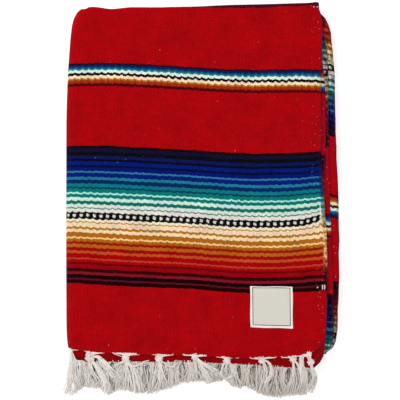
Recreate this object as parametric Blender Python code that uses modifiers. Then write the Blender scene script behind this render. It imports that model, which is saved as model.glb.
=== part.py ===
"""A fringed serape blanket, folded in quarters along its length and in thirds across, lying flat.

Metres, +Z up. The origin is on the floor under the middle of the folded blanket. +X runs along the
fringed ends, from the fold to the selvedges, and +Y runs from the fringe to the back fold. The tables
and sizes below are millimetres. From the top, each third shows layers 1 to 4 of the lengthwise fold:
layers 1 and 4 meet at the outer back fold, layers 1 and 2 end in a fringe.
"""

import math
from collections import namedtuple

import bmesh
import bpy
import numpy as np

MM = 0.001

# The cloth and its stack: three thirds of four layers, each a wall with a thin gap over the next
CLOTH = 2.7
GAP = 0.3
PITCH = CLOTH + GAP
THIRD = 4 * PITCH
STACK = 3 * THIRD - GAP
INNER_STACK = 2 * THIRD - GAP

# The folds, as radii of the outer face of the cloth
LEFT_FOLD = STACK / 2
RIGHT_FOLD = INNER_STACK / 2
BACK_FOLD = (THIRD - GAP) / 2
BACK_TURN = math.radians(165)
BACK_TURN_AT_FOLDS = math.radians(130)
BACK_CORNER = 3.0
FOLD_SLACK = 0.5
CORNER_CLEAR = 8.0
TUCK = 0.93

# How far the lower two thirds stand in from the top one, at the fringe and at the back fold
MIDDLE_FRONT_IN = 3.0
MIDDLE_BACK_IN = 3.5
LOWER_FRONT_IN = 5.0
LOWER_BACK_IN = 2.0

# A layer's edge is rounded, and the line between two edges is this deep
EDGE_ROUND = 0.8
EDGE_LINE = 1.5

# Plan of the long sides: the left fold, the selvedges of layers 1 to 4 of the top third, and the
# fold between the lower and middle thirds
Side = namedtuple("Side", "y left edge1 edge2 edge3 edge4 fold")
SIDES = [
    Side(-258, -188.0, 168.0, 171.0, 176.0, 176.0, 178.0),
    Side(-247, -190.0, 168.0, 184.0, 182.0, 184.0, 185.0),
    Side(-238, -202.0, 170.0, 189.0, 188.0, 191.0, 191.0),
    Side(-227, -203.0, 183.0, 193.0, 200.0, 207.5, 199.0),
    Side(-211, -204.5, 193.0, 195.0, 204.0, 212.5, 206.0),
    Side(-195, -205.0, 195.2, 196.0, 204.4, 213.3, 208.5),
    Side(-138, -205.2, 194.9, 196.0, 204.4, 213.3, 209.3),
    Side(-77, -205.2, 193.7, 195.2, 201.3, 213.0, 209.0),
    Side(0, -205.2, 189.0, 193.7, 199.0, 212.0, 208.0),
    Side(31, -205.2, 186.0, 193.0, 198.3, 210.6, 206.6),
    Side(108, -205.2, 185.2, 192.1, 196.7, 207.5, 203.5),
    Side(184, -202.9, 185.2, 190.6, 196.0, 206.0, 202.0),
    Side(223, -200.3, 186.7, 190.0, 194.4, 204.0, 200.0),
    Side(257, -197.8, 186.7, 189.0, 192.0, 200.4, 196.4),
    Side(274, -195.2, 186.4, 187.5, 190.6, 196.7, 192.7),
    Side(284, -191.5, 185.8, 186.0, 186.5, 188.0, 186.0),
    Side(290, -187.0, 184.5, 184.0, 184.0, 184.0, 182.0),
    Side(296, -172.0, 183.7, 182.0, 182.0, 182.0, 179.0),
]

# Plan of the ends: the fringed ends of layers 1 and 2, the fold of layers 3 and 4, the back fold,
# and the tips of the fringe
End = namedtuple("End", "x first second folded back tips")
ENDS = [
    End(-206, -229.0, -229.0, -228.0, 295.0, -300.0),
    End(-188, -230.0, -248.0, -234.0, 295.0, -298.0),
    End(-169, -232.0, -248.0, -236.0, 296.2, -295.0),
    End(-137, -235.2, -248.0, -237.0, 293.3, -300.0),
    End(-104, -236.2, -248.0, -237.0, 296.5, -298.0),
    End(-66, -236.8, -248.0, -237.0, 295.6, -296.0),
    End(-40, -237.6, -248.2, -237.0, 296.0, -287.0),
    End(0, -238.7, -248.5, -237.0, 296.5, -280.0),
    End(20, -240.0, -249.4, -237.5, 297.3, -282.0),
    End(49, -241.5, -250.5, -238.0, 298.7, -290.0),
    End(81, -242.8, -252.8, -239.0, 299.4, -298.0),
    End(121, -241.8, -256.0, -240.0, 300.6, -304.0),
    End(145, -240.0, -257.0, -240.0, 301.4, -303.0),
    End(169, -236.5, -257.3, -239.0, 302.2, -299.0),
    End(178, -236.0, -257.3, -238.5, 303.5, -284.0),
    End(186, -235.5, -257.3, -237.5, 301.0, -278.0),
]
FIRST_END = -238.0
SECOND_END = -252.0
BACK_END = 290.0

# Soft swells and hollows of the stack, as a share of its height
Swell = namedtuple("Swell", "x y wide long rise")
SWELLS = [
    Swell(-160, 150, 80, 170, 0.026),
    Swell(60, 215, 120, 70, -0.018),
    Swell(30, -30, 140, 90, 0.020),
    Swell(-95, -150, 100, 80, -0.020),
    Swell(150, 70, 60, 140, -0.020),
    Swell(115, -165, 80, 60, 0.012),
]
FRONT_FALL = 0.08
FRONT_FALL_FROM = -212.0
FRONT_FALL_TO = -255.0

# The hidden layers from the floor up: their end, their selvedge, and whether two share a fold
Layer = namedtuple("Layer", "third end edge low")
HIDDEN = [
    Layer("lower", "second", "fold", 1 * PITCH),
    Layer("lower", "folded", "fold", 2 * PITCH),
    Layer("lower", "folded", "fold", 3 * PITCH),
    Layer("middle", "folded", "fold", 4 * PITCH),
    Layer("middle", "folded", "fold", 5 * PITCH),
    Layer("middle", "second", "fold", 6 * PITCH),
    Layer("middle", "first", "tuck", 7 * PITCH),
    Layer("top", "folded", "edge4", 8 * PITCH),
    Layer("top", "folded", "edge3", 9 * PITCH),
    Layer("top", "second", "edge2", 10 * PITCH),
]
FRONT_IN = {"top": 0.0, "middle": MIDDLE_FRONT_IN, "lower": LOWER_FRONT_IN}
BACK_IN = {"top": 0.0, "middle": MIDDLE_BACK_IN, "lower": LOWER_BACK_IN}

# Stations along the sides and across the ends, as shares; the label lies on whole cells of them
LABEL_ALONG = (0.0836, 0.1243, 0.165, 0.2058)
LABEL_ACROSS = (0.136, 0.1935, 0.251, 0.3086)
ALONG = (0.0, 0.02, 0.05, *LABEL_ALONG, 0.29, 0.38, 0.47, 0.56, 0.65, 0.74, 0.82, 0.89, 0.94, 0.975, 1.0)
ACROSS_TOP = (0.0, 0.035, *LABEL_ACROSS, 0.38, 0.46, 0.54, 0.62, 0.70, 0.78, 0.86, 0.93, 1.0)
ACROSS_FLOOR = (0.0, 0.25, 0.5, 0.75, 1.0)
LEFT_FOLD_STEPS = 8
RIGHT_FOLD_STEPS = 6
BACK_FOLD_STEPS = 4
HIDDEN_ALONG = (0.0, 0.02, 0.05, 0.14, 0.27, 0.42, 0.58, 0.74, 0.87, 0.95, 1.0)
HIDDEN_ACROSS = (0.0, 0.025, 0.045, 0.16, 0.3, 0.44, 0.58, 0.71, 0.82, 0.9, 0.92, 1.0)
BACK_SHOWS_FROM = 0.045
BACK_SHOWS_TO = 0.9

LABEL_THICK = 0.8

# The fringe: rows of knotted tassels, each knot on a narrow strip in front of a layer's end
Row = namedtuple("Row", "name end front_in level tip hang_from strands sections knot_up knot_down knots")
KNOTS_FIRST = (-187, -167, -115, -63, -8, 41, 95, 143, 163)
KNOTS_SECOND = (-176, -140, -90, -38, 16, 68, 118, 158)
KNOTS_UNDER = (-168, -115, -58, 0, 54, 108, 160)
ROWS = [
    Row("fringe_upper_outer", "first", 0.0, 34.35, 13.1, 0.2, 7, (0.3, 0.62, 1.0), 3.2, 1.0, KNOTS_FIRST),
    Row("fringe_upper_inner", "second", 0.0, 31.2, 10.7, 0.1, 6, (0.3, 0.62, 1.0), 1.0, 1.6, KNOTS_SECOND),
    Row("fringe_middle_outer", "first", MIDDLE_FRONT_IN, 22.35, 8.3, 0.2, 3, (0.35, 0.65, 1.0), 1.1, 0.9, KNOTS_UNDER),
    Row("fringe_middle_inner", "second", MIDDLE_FRONT_IN, 19.35, 5.9, 0.1, 3, (0.4, 1.0), 1.0, 1.2, KNOTS_UNDER),
    Row("fringe_lower_inner", "second", LOWER_FRONT_IN, 4.35, 3.5, 0.1, 3, (0.4, 1.0), 1.1, 0.9, KNOTS_UNDER),
    Row("fringe_lower_outer", "first", LOWER_FRONT_IN, 1.35, 1.2, 0.1, 3, (0.4, 1.0), 1.0, 0.8, KNOTS_UNDER),
]
STRAND = 1.2
STRAND_GAP = 0.6
STRIP_DEEP = 1.6
STRIP_OFF = 0.4
STRIP_HALF = 0.7
KNOT_DEEP = 5.0
KNOT_SHOULDER = 1.5
STRIP_PAST_KNOT = 4.0
LEFT_TASSEL_REACH = 20.0
RIGHT_TASSEL_REACH = 9.0
TIP_CLEAR = 1.5
FRINGE_ROUND_FOLD = 0.6
STRAND_TIP = 0.7


def mix(a, b, share):
    return a + (b - a) * share


def smooth(share):
    share = min(max(share, 0.0), 1.0)
    return share * share * (3 - 2 * share)


def side(column, y):
    """Where a long side or a selvedge lies at y."""
    return float(np.interp(y, [row.y for row in SIDES], [getattr(row, column) for row in SIDES]))


def end(column, x):
    """Where an end, the back fold or the fringe's tips lie at x."""
    return float(np.interp(x, [row.x for row in ENDS], [getattr(row, column) for row in ENDS]))


def tuck_edge(y):
    """The hidden edge of the outer layer, where it turns in between the top and middle thirds."""
    return mix(side("left", y), side("fold", y), TUCK)


def height(x, y):
    """Share of its full height that the stack has at a place."""
    swell = sum(
        s.rise * math.exp(-(((x - s.x) / s.wide) ** 2) - ((y - s.y) / s.long) ** 2) for s in SWELLS
    )
    fall = smooth((FRONT_FALL_FROM - y) / (FRONT_FALL_FROM - FRONT_FALL_TO))
    return 1 + swell - FRONT_FALL * fall


def drape(x, y, z):
    return (x * MM, y * MM, z * height(x, y) * MM)


def new_object(name, mesh, material, group):
    part = bpy.data.objects.new(name, mesh)
    group.objects.link(part)
    mesh.materials.append(material)
    return part


def new_material(name, colour, roughness):
    material = bpy.data.materials.new(name)
    material.use_nodes = True
    surface = material.node_tree.nodes["Principled BSDF"]
    surface.inputs["Base Color"].default_value = (*colour, 1)
    surface.inputs["Roughness"].default_value = roughness
    surface.inputs["Metallic"].default_value = 0
    return material


def grid_mesh(name, rows):
    """A sheet through rows of points."""
    mesh = bmesh.new()
    lines = [[mesh.verts.new(point) for point in row] for row in rows]
    for low, high in zip(lines, lines[1:]):
        for a, b, c, d in zip(low, low[1:], high[1:], high):
            mesh.faces.new((a, d, c, b))
    data = bpy.data.meshes.new(name)
    mesh.to_mesh(data)
    mesh.free()
    return data


# The outer layer's section


def section_at(y):
    """Points of the outer face round the folded blanket at y, each with its way in and its set-back."""
    left, fold = side("left", y), side("fold", y)
    left_axis, right_axis = left + LEFT_FOLD, fold - RIGHT_FOLD
    selvedge = side("edge1", y)
    points = []
    for share in ACROSS_TOP:
        points.append((mix(selvedge, left_axis, share), STACK, (0, -1), 0.0, 0.0))
    for step in range(1, LEFT_FOLD_STEPS):
        turn = math.pi * step / LEFT_FOLD_STEPS
        out = (-math.sin(turn), math.cos(turn))
        set_back = step / LEFT_FOLD_STEPS
        points.append(
            (left_axis + LEFT_FOLD * out[0], LEFT_FOLD + LEFT_FOLD * out[1], (-out[0], -out[1]), set_back, 0.0)
        )
    for share in ACROSS_FLOOR:
        points.append((mix(left_axis, right_axis, share), 0.0, (0, 1), 1.0, 0.0))
    for step in range(1, RIGHT_FOLD_STEPS):
        turn = math.pi * step / RIGHT_FOLD_STEPS
        out = (math.sin(turn), -math.cos(turn))
        points.append(
            (
                right_axis + RIGHT_FOLD * out[0],
                RIGHT_FOLD + RIGHT_FOLD * out[1],
                (-out[0], -out[1]),
                1.0,
                step / RIGHT_FOLD_STEPS,
            )
        )
    for share in (0.0, 0.5, 1.0):
        points.append((mix(right_axis, tuck_edge(y), share), INNER_STACK, (0, -1), 1.0, 1.0))
    return points


def outer_rows():
    """The outer face, from the fringed end to the back fold and round it."""
    rows = []
    for share in ALONG:
        row = []
        for x, z, _, lower, middle in section_at(mix(FIRST_END, BACK_END, share)):
            front = end("first", x) + mix(LOWER_FRONT_IN * lower, MIDDLE_FRONT_IN, middle)
            back = end("back", x) - mix(LOWER_BACK_IN * lower, MIDDLE_BACK_IN, middle) - BACK_FOLD
            row.append(drape(x, mix(front, back, share), z))
        rows.append(row)
    for step in range(1, BACK_FOLD_STEPS + 1):
        row = []
        corner = BACK_END + BACK_CORNER * min(2 * step / BACK_FOLD_STEPS, 1.0)
        for x, z, way_in, lower, middle in section_at(corner):
            on_fold = abs(way_in[0])
            turn = mix(BACK_TURN, BACK_TURN_AT_FOLDS, on_fold) * step / BACK_FOLD_STEPS
            back = end("back", x) - mix(LOWER_BACK_IN * lower, MIDDLE_BACK_IN, middle) - BACK_FOLD
            depth = BACK_FOLD * (1 - math.cos(turn))
            y = back + BACK_FOLD * math.sin(turn)
            row.append(drape(x + way_in[0] * depth, y, z + way_in[1] * depth))
        rows.append(row)
    return rows


def outer_layer(group, material):
    mesh = grid_mesh("outer_layer", outer_rows())
    part = new_object("outer_layer", mesh, material, group)
    wall = part.modifiers.new("cloth", "SOLIDIFY")
    wall.thickness = CLOTH * MM
    wall.offset = -1
    return part


# The hidden layers: one solid with a rounded edge for each layer

Level = namedtuple("Level", "z ends edges line third")


def hidden_levels():
    """Heights at which the plan of the hidden layers is taken, from the lowest up."""
    levels = []
    below = None
    for layer in HIDDEN:
        floor = layer.low - GAP / 2
        if below is None or below.edge == "tuck":
            floor = layer.low
        if layer.edge == "tuck":
            floor = layer.low - GAP
        neighbours = [layer] if below is None else [below, layer]
        levels.append(Level(floor, neighbours, neighbours, EDGE_LINE, layer.third))
        for z in (layer.low + EDGE_ROUND, layer.low + CLOTH - EDGE_ROUND):
            levels.append(Level(z, [layer], [layer], 0.0, layer.third))
        below = layer
    levels.append(Level(HIDDEN[-1].low + CLOTH - GAP, [below], [below], EDGE_LINE, "top"))
    return levels


def fold_reach(z, middle, radius):
    return math.sqrt(max(radius * radius - (z - middle) ** 2, 0.0))


def hidden_left(z, y):
    left = max(side("left", place) for place in (y - CORNER_CLEAR, y, y + CORNER_CLEAR))
    radius = LEFT_FOLD - PITCH - FOLD_SLACK
    return left + LEFT_FOLD - fold_reach(z, LEFT_FOLD, radius)


def hidden_right(level, y):
    """The innermost of the edges that meet at a level."""
    found = []
    for layer in level.edges:
        if layer.edge == "fold":
            fold = min(side("fold", place) for place in (y - CORNER_CLEAR, y, y + CORNER_CLEAR))
            reach = fold_reach(level.z, RIGHT_FOLD, RIGHT_FOLD - PITCH - FOLD_SLACK)
            found.append(fold - RIGHT_FOLD + reach)
        elif layer.edge == "tuck":
            found.append(tuck_edge(y) - 2 * GAP)
        else:
            found.append(side(layer.edge, y) - level.line)
    return min(found)


def hidden_front(level, x):
    """The innermost of the ends that meet at a level."""
    found = []
    folded = [layer.end for layer in level.ends].count("folded") == len(level.ends)
    for layer in level.ends:
        y = end(layer.end, x) + FRONT_IN[layer.third]
        if layer.end != "folded":
            y += level.line
        elif not folded or len({layer.third for layer in level.ends}) > 1:
            y += PITCH
        elif level.line == 0:
            y += EDGE_ROUND / 2
        found.append(y)
    return max(found)


def hidden_back(level, x, across):
    inner = end("back", x) - BACK_IN[level.third] - BACK_FOLD - GAP
    if level.third != "middle" or not BACK_SHOWS_FROM <= across <= BACK_SHOWS_TO:
        return inner - MIDDLE_BACK_IN
    return inner + GAP + fold_reach(level.z, THIRD + BACK_FOLD, BACK_FOLD)


def hidden_place(level, across, along):
    first = any(layer.end != "second" for layer in level.ends)
    y = mix(FIRST_END if first else SECOND_END, BACK_END, along)
    x = mix(hidden_left(level.z, y), hidden_right(level, y), across)
    y = mix(hidden_front(level, x), hidden_back(level, x, across), along)
    return drape(x, y, level.z)


def hidden_layers(group, material):
    """Rings of points round each level, closed by a grid below and one above."""
    mesh = bmesh.new()
    last_across, last_along = len(HIDDEN_ACROSS) - 1, len(HIDDEN_ALONG) - 1
    edge = [(i, 0) for i in range(last_across)]
    edge += [(last_across, j) for j in range(last_along)]
    edge += [(i, last_along) for i in range(last_across, 0, -1)]
    edge += [(0, j) for j in range(last_along, 0, -1)]

    def place(level, i, j):
        return mesh.verts.new(hidden_place(level, HIDDEN_ACROSS[i], HIDDEN_ALONG[j]))

    levels = hidden_levels()
    rings = [{cell: place(level, *cell) for cell in edge} for level in levels]
    for low, high in zip(rings, rings[1:]):
        for a, b in zip(edge, edge[1:] + edge[:1]):
            mesh.faces.new((low[a], low[b], high[b], high[a]))
    for level, ring in ((levels[0], rings[0]), (levels[-1], rings[-1])):
        inside = [(i, j) for i in range(1, last_across) for j in range(1, last_along)]
        ring.update({cell: place(level, *cell) for cell in inside})
        for i in range(last_across):
            for j in range(last_along):
                mesh.faces.new((ring[i, j], ring[i + 1, j], ring[i + 1, j + 1], ring[i, j + 1]))
    bmesh.ops.recalc_face_normals(mesh, faces=mesh.faces)
    data = bpy.data.meshes.new("hidden_layers")
    mesh.to_mesh(data)
    mesh.free()
    return new_object("hidden_layers", data, material, group)


# The label: whole cells of the top panel, moved out


def label(group, material):
    rows = outer_rows()
    first_row, first_column = ALONG.index(LABEL_ALONG[0]), ACROSS_TOP.index(LABEL_ACROSS[0])
    patch = []
    for row in rows[first_row : first_row + len(LABEL_ALONG)]:
        cells = row[first_column : first_column + len(LABEL_ACROSS)]
        patch.append([(x, y, z + GAP * MM) for x, y, z in cells])
    part = new_object("label", grid_mesh("label", patch), material, group)
    cloth = part.modifiers.new("cloth", "SOLIDIFY")
    cloth.thickness = LABEL_THICK * MM
    cloth.offset = 1
    return part


# The fringe


def end_line(row):
    """The end of a row's layer as it is built, as x and y of its points from left to right."""
    if row.end == "first" and row.level > INNER_STACK:
        points = outer_rows()[0][: len(ACROSS_TOP) + LEFT_FOLD_STEPS // 2 - 1]
    elif row.end == "first" and row.level < PITCH:
        start = len(ACROSS_TOP) + LEFT_FOLD_STEPS - 1
        points = outer_rows()[0][start : start + len(ACROSS_FLOOR)]
    else:
        level = min(hidden_levels(), key=lambda level: abs(level.z - row.level) + level.line)
        points = [hidden_place(level, across, 0.0) for across in HIDDEN_ACROSS]
    points = sorted((x / MM, y / MM) for x, y, _ in points)
    return [x for x, _ in points], [y for _, y in points]


def cloth_level(row, x):
    """Height of a row's layer at its end, which falls away round the left fold on the outer layer."""
    if row.end != "first" or row.level < INNER_STACK:
        return row.level
    axis = side("left", FIRST_END) + LEFT_FOLD
    out = min(max(axis - x, 0.0), FRINGE_ROUND_FOLD * LEFT_FOLD)
    return LEFT_FOLD + math.sqrt((LEFT_FOLD - CLOTH / 2) ** 2 - out**2)


def hang(row, x, y):
    """Height of a strand's middle: it lies out over the layer below, then hangs to the tips."""
    edge = end("second", x)
    along = (edge - y) / (edge - end("tips", x))
    level = cloth_level(row, x) * height(x, max(y, edge))
    return mix(level, row.tip, smooth((along - row.hang_from) / (1 - row.hang_from)))


def columns_of(row, stations):
    """Columns of the strip: x, how far into a knot, and whether a strand leaves the next cell."""
    half = (row.strands * STRAND + (row.strands - 1) * STRAND_GAP) / 2
    columns = [(row.knots[0] - half - KNOT_SHOULDER - STRIP_PAST_KNOT, 0.0, None)]
    for knot, centre in enumerate(row.knots):
        columns.append((centre - half - KNOT_SHOULDER, 0.0, None))
        x = centre - half
        for strand in range(row.strands):
            columns.append((x, 1.0, (knot, strand)))
            x += STRAND
            if strand < row.strands - 1:
                columns.append((x, 1.0, None))
                x += STRAND_GAP
        columns.append((centre + half, 1.0, None))
        columns.append((centre + half + KNOT_SHOULDER, 0.0, None))
    columns.append((row.knots[-1] + half + KNOT_SHOULDER + STRIP_PAST_KNOT, 0.0, None))
    for x in stations:
        between_knots = min(abs(x - centre) for centre in row.knots) > half + KNOT_SHOULDER + STRAND
        if between_knots and columns[0][0] < x < row.knots[-1]:
            columns.append((x, 0.0, None))
    columns.sort(key=lambda column: column[0])
    bulged = []
    for x, inside, strand in columns:
        nearest = min(abs(x - centre) for centre in row.knots)
        round_off = math.sqrt(max(1 - (nearest / (half + KNOT_SHOULDER)) ** 2, 0.0))
        bulged.append((x, inside * round_off, strand))
    return bulged


def tip_of(row, knot, strand):
    """Where across the end a strand's tip lies: the tassels share the width between them."""
    centre = row.knots[knot]
    low = centre - LEFT_TASSEL_REACH if knot == 0 else (row.knots[knot - 1] + centre) / 2
    last = knot == len(row.knots) - 1
    high = centre + RIGHT_TASSEL_REACH if last else (row.knots[knot + 1] + centre) / 2
    return mix(low + TIP_CLEAR, high - TIP_CLEAR, (strand + 0.5) / row.strands)


def strand_rings(row, knot, strand, x_root, y_root):
    """Square sections of one strand, from its knot to its tip."""
    x_tip = tip_of(row, knot, strand)
    uneven = 2.0 * math.sin(3.1 * strand + 1.7 * knot)
    y_tip = end("tips", x_tip) + row.front_in + 2.0 + uneven
    rings = []
    for share in row.sections:
        x = mix(x_root, x_tip, share)
        y = mix(y_root, y_tip, share)
        z = hang(row, x, y)
        half = STRAND / 2 * (STRAND_TIP if share == 1.0 else 1.0)
        rings.append([(x + a * half, y, z + b * half) for a, b in ((-1, -1), (-1, 1), (1, 1), (1, -1))])
    return rings


def fringe(row, group, material):
    mesh = bmesh.new()

    def point(x, y, z):
        return mesh.verts.new((x * MM, y * MM, z * MM))

    sections = []
    line = end_line(row)
    columns = columns_of(row, line[0])
    for x, bulge, _ in columns:
        back = float(np.interp(x, *line)) - STRIP_OFF
        front = back - STRIP_DEEP - KNOT_DEEP * bulge
        level = cloth_level(row, x)
        low = (level - mix(STRIP_HALF, row.knot_down, bulge)) * height(x, back)
        high = (level + mix(STRIP_HALF, row.knot_up, bulge)) * height(x, back)
        corners = ((back, low), (back, high), (front, high), (front, low))
        sections.append([point(x, y, z) for y, z in corners])
    for i, (a, b) in enumerate(zip(sections, sections[1:])):
        strand = columns[i][2]
        for corner in range(4):
            nxt = (corner + 1) % 4
            if corner == 2 and strand:
                continue
            mesh.faces.new((a[corner], a[nxt], b[nxt], b[corner]))
        if not strand:
            continue
        x_root = (columns[i][0] + columns[i + 1][0]) / 2
        y_root = (a[2].co.y + b[2].co.y) / 2 / MM
        ring = [a[3], a[2], b[2], b[3]]
        for corners in strand_rings(row, *strand, x_root, y_root):
            further = [point(*corner) for corner in corners]
            for corner in range(4):
                nxt = (corner + 1) % 4
                mesh.faces.new((ring[corner], ring[nxt], further[nxt], further[corner]))
            ring = further
        mesh.faces.new(ring)
    mesh.faces.new(sections[0])
    mesh.faces.new(sections[-1])
    bmesh.ops.recalc_face_normals(mesh, faces=mesh.faces)
    data = bpy.data.meshes.new(row.name)
    mesh.to_mesh(data)
    mesh.free()
    return new_object(row.name, data, material, group)


def main():
    for old in list(bpy.data.objects):
        bpy.data.objects.remove(old)
    group = bpy.data.collections.new("folded_serape_blanket")
    bpy.context.scene.collection.children.link(group)
    outer_layer(group, new_material("striped_cloth", (0.36, 0.004, 0.006), 0.9))
    hidden_layers(group, new_material("inner_cloth", (0.30, 0.004, 0.010), 0.9))
    label(group, new_material("label_cloth", (0.58, 0.58, 0.54), 0.85))
    for row in ROWS:
        fringe(row, group, new_material(row.name, (0.70, 0.66, 0.62), 0.9))


main()
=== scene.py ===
import math

import bpy
import numpy as np
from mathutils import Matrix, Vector


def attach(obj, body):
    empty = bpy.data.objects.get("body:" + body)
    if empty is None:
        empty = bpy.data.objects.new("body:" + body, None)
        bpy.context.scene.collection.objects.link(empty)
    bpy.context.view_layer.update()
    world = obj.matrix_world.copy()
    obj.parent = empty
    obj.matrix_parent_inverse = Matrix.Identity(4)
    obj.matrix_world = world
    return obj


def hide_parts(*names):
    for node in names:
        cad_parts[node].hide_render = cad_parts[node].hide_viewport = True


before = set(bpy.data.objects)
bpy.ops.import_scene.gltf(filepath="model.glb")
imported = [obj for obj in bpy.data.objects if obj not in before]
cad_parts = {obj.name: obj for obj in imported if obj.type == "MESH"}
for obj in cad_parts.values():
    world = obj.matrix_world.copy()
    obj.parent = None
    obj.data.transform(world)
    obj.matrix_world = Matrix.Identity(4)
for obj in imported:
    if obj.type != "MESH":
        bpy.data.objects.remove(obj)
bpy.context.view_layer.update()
scene = bpy.context.scene

# A folded, fringed serape. Shapes are worked out in millimetres in the part's frame: +X to the selvedges,
# +Y from the fringe to the back fold, the floor at 0. Meshes are made in metres.
mm = 0.001


def between(a, b, share):
    return a + (b - a) * share


def ease(share):
    share = np.clip(share, 0, 1)
    return share * share * (3 - 2 * share)


def smoothLine(at, stations, values):  # a smooth line through the stations, level beyond its two ends
    stations, values = np.array(stations, float), np.array(values, float)
    rises = np.diff(values) / np.diff(stations)
    turns = rises[:-1] * rises[1:]
    inner = np.where(turns > 0, 2 * turns / np.where(turns > 0, rises[:-1] + rises[1:], 1), 0)
    slopes = np.concatenate([rises[:1], inner, rises[-1:]])
    at = np.clip(at, stations[0], stations[-1])
    i = np.clip(np.searchsorted(stations, at) - 1, 0, len(stations) - 2)
    step = stations[i + 1] - stations[i]
    t = (at - stations[i]) / step
    rise = t * t * (3 - 2 * t)
    start = t * (1 - t) ** 2 * step * slopes[i]
    stop = -t * t * (1 - t) * step * slopes[i + 1]
    return between(values[i], values[i + 1], rise) + start + stop


def ripple(x, y, size, seed, waves=7):  # soft uneven waves about `size` long, between about -1 and 1
    draw = np.random.default_rng(seed)
    total = 0
    for _ in range(waves):
        turn, phase = draw.uniform(0, 2 * math.pi, 2)
        pitch = 2 * math.pi / (size * draw.uniform(0.65, 1.5))
        total = total + np.sin((x * math.cos(turn) + y * math.sin(turn)) * pitch + phase)
    return total / math.sqrt(waves)


# The stack: three thirds across, each with four layers, in one spiral. Depth is taken from the outer face
stack = {
    "cloth": 2.7,
    "gap": 0.3,
    "height": 35.7,
    "innerHeight": 23.7,
    "leftFold": 17.85,
    "rightFold": 11.85,
    "backFold": 4.5,
    "smallFold": 1.5,
    "middleFrontIn": 3.0,
    "middleBackIn": 3.5,
    "lowerFrontIn": 5.0,
    "lowerBackIn": 2.0,
    "tuck": 0.93,
    "frontEnd": -240.0,
    "backEnd": 290.0,
}
pitch = stack["cloth"] + stack["gap"]
depthOf = {layer: stack["cloth"] / 2 + (layer - 1) * pitch for layer in (1, 2, 3, 4)}

plan = {
    # Long sides at sideY: the left fold, the selvedges of layers 1 to 4, the fold of the lower thirds
    "sideY": (-258, -247, -238, -227, -211, -195, -138, -77, 0, 31, 108, 184, 223, 257, 274, 284, 290, 296),
    "left": (-188, -190, -202.5, -203.8, -205.4, -206, -206.3, -206.4, -206.4, -206.3, -206.2, -204.2,
             -201.8, -199.1, -196.4, -192.6, -188, -172),
    "edge1": (168, 168, 169.5, 184.5, 191.2, 192.8, 193.7, 193.5, 189, 186, 185.2, 185.2,
              186.7, 186.7, 186.4, 185.2, 182.8, 181.5),
    "edge2": (171, 184, 188.5, 190.2, 191.9, 193.5, 194.2, 192.8, 189.6, 190.8, 192.1, 190.6,
              186.5, 185.5, 184.5, 183.5, 182, 180.5),
    "edge3": (176, 182, 188, 200, 204, 204.4, 204.4, 201.3, 199, 198.3, 196.7, 196,
              194.4, 189.5, 185.5, 183.5, 182, 180.5),
    "edge4": (176, 183, 190.5, 204.5, 209.2, 210.5, 212.5, 213, 212, 210.6, 207.5, 206,
              204, 200.0, 195.6, 186, 180.5, 179),
    "fold": (178, 185, 191, 199, 206, 208.5, 209.3, 209, 208, 206.6, 203.5, 202,
             200, 196.4, 192.7, 186, 182, 179),
    # Ends at endX: the fringed ends of layers 1 and 2, the fold of 3 and 4. The back fold and the tips of the
    # fringe have stations of their own
    "endX": (-206, -188, -169, -137, -104, -66, -40, 0, 20, 49, 81, 121, 145, 169, 178, 186),
    "first": (-229, -230, -232, -235.2, -236.2, -236.8, -237.6, -238.7, -240, -241.5, -242.8, -241.8,
              -240, -236.5, -236, -235.5),
    "second": (-229, -248, -248, -248, -248, -248, -248.2, -248.5, -249.4, -250.5, -252.8, -256,
               -257, -257.3, -257.3, -257.3),
    "folded": (-228, -234, -236, -237, -237, -237, -237, -237, -237.5, -238, -239, -240,
               -240, -239, -238.5, -237.5),
    "backX": (-206, -190, -182, -178, -175, -169, -155, -137, -104, -66, -40, 0, 20, 49, 81, 121, 145, 169,
              178, 186),
    "back": (291, 292.5, 295.3, 294.6, 295, 297.6, 296.4, 294, 296.8, 296.6, 297.2, 298, 299.1, 300.3,
             301, 302, 302.8, 303.6, 304.8, 302),
    "tipX": (-211, -200, -187.5, -177, -164, -152, -140, -132, -121, -97, -81, -66, -50, -34, -19, 0, 16, 32,
             41.5, 49, 63, 71, 79, 88.5, 102.5, 118, 134, 149, 165, 171.5, 176, 182),
    "tips": (-303, -304.6, -296.8, -291.4, -291.4, -293.7, -302.2, -298.4, -294, -299.6, -300.7,
             -297.2, -293.3, -287, -283, -281.4, -283.8, -282, -276, -289, -291, -289, -294, -299.6,
             -303.5, -306.4, -304.3, -302, -302.7, -292.5, -278.3, -270),
    # Soft swells and hollows: x, y, width, length, and rise as a share of the height
    "swells": (
        (-160, 150, 80, 170, 0.026),
        (60, 215, 120, 70, -0.018),
        (30, -30, 140, 90, 0.020),
        (-95, -150, 100, 80, -0.020),
        (150, 70, 60, 140, -0.020),
        (115, -165, 80, 60, 0.012),
    ),
    "frontFall": 0.08,
    "frontFallFrom": -212,
    "frontFallTo": -255,
    "ripples": ((85, 0.55, 3), (30, 0.22, 4), (13, 0.09, 5)),  # size, rise and seed
}


def side(name, y):
    return smoothLine(y, plan["sideY"], plan[name])


def endOf(name, x):
    return smoothLine(x, plan[{"tips": "tipX", "back": "backX"}.get(name, "endX")], plan[name])


def heightShare(x, y):
    swell = sum(rise * np.exp(-((x - sx) / wide) ** 2 - ((y - sy) / long) ** 2)
                for sx, sy, wide, long, rise in plan["swells"])
    fall = ease((plan["frontFallFrom"] - y) / (plan["frontFallFrom"] - plan["frontFallTo"]))
    return 1 + swell - plan["frontFall"] * fall


def settle(x, y, z):  # where a place of the neat stack lies once the cloth has settled
    lift = sum(rise * ripple(x, y, size, seed) for size, rise, seed in plan["ripples"])
    return z * heightShare(x, y) + lift * (z / stack["height"]) ** 2


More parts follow.
